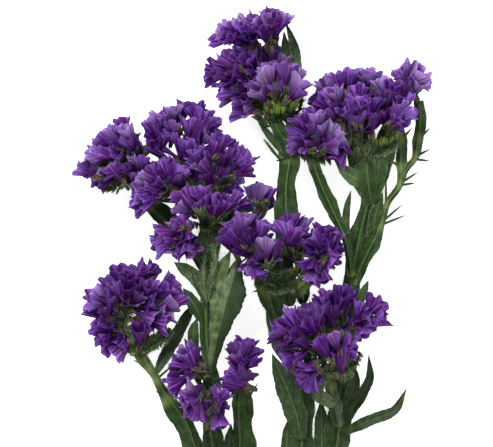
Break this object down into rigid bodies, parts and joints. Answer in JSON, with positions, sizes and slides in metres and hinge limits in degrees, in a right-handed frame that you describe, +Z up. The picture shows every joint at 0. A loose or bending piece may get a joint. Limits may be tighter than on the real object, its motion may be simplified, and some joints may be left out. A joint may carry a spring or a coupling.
{
  "type": "dried statice spray",
  "caption": "Cut statice spray laid down: winged branching stems with lance-shaped leaves and one-sided fans of papery violet funnel calyces.",
  "frame": {"origin": "centre of the spray's footprint on the surface it lies on", "axes": "+Y along the main stem from its cut end towards the crest head, +Z up from the surface"},
  "size_m": [0.1626, 0.3318, 0.0592],
  "materials": {
    "calyx": "matte, papery, veined",
    "stem": "matte, ribbed, hairy",
    "leaf": "matte, thin",
    "leaf_pale": "matte, thin"
  },
  "bodies": {
    "root": {"stem_main": "stem", "stem_left_head": "stem", "stem_lower_left": "stem", "stem_lower_centre": "stem", "stem_lower_head": "stem", "stem_crest": "stem", "stem_corymb": "stem", "branch_corymb_right": "stem", "branch_far_right": "stem", "branch_diagonal": "stem", "branch_centre": "stem", "branch_centre_right": "stem", "branch_lower_right": "stem", "leaf_centre": "leaf_pale", "leaf_centre_left": "leaf_pale", "leaf_lower_left": "leaf", "leaf_strap": "leaf", "leaf_right_low": "leaf", "leaf_right_high": "leaf", "leaf_right_wing": "leaf", "leaf_lower_centre": "leaf", "leaf_under_head": "leaf_pale", "leaf_corymb": "leaf_pale", "leaf_diagonal": "leaf", "leaf_crest": "leaf", "head_centre": "calyx", "head_centre_top": "calyx", "head_centre_right": "calyx", "head_lower_right": "calyx", "head_crest": "calyx", "head_far_right": "calyx", "head_corymb_left": "calyx", "head_corymb_right": "calyx", "head_corymb": "calyx", "head_left": "calyx", "head_upper_low": "calyx", "head_upper": "calyx", "head_lower_left": "calyx", "head_lower": "calyx", "head_lower_front": "calyx", "head_lower_centre": "calyx"}
  },
  "joints": []
}
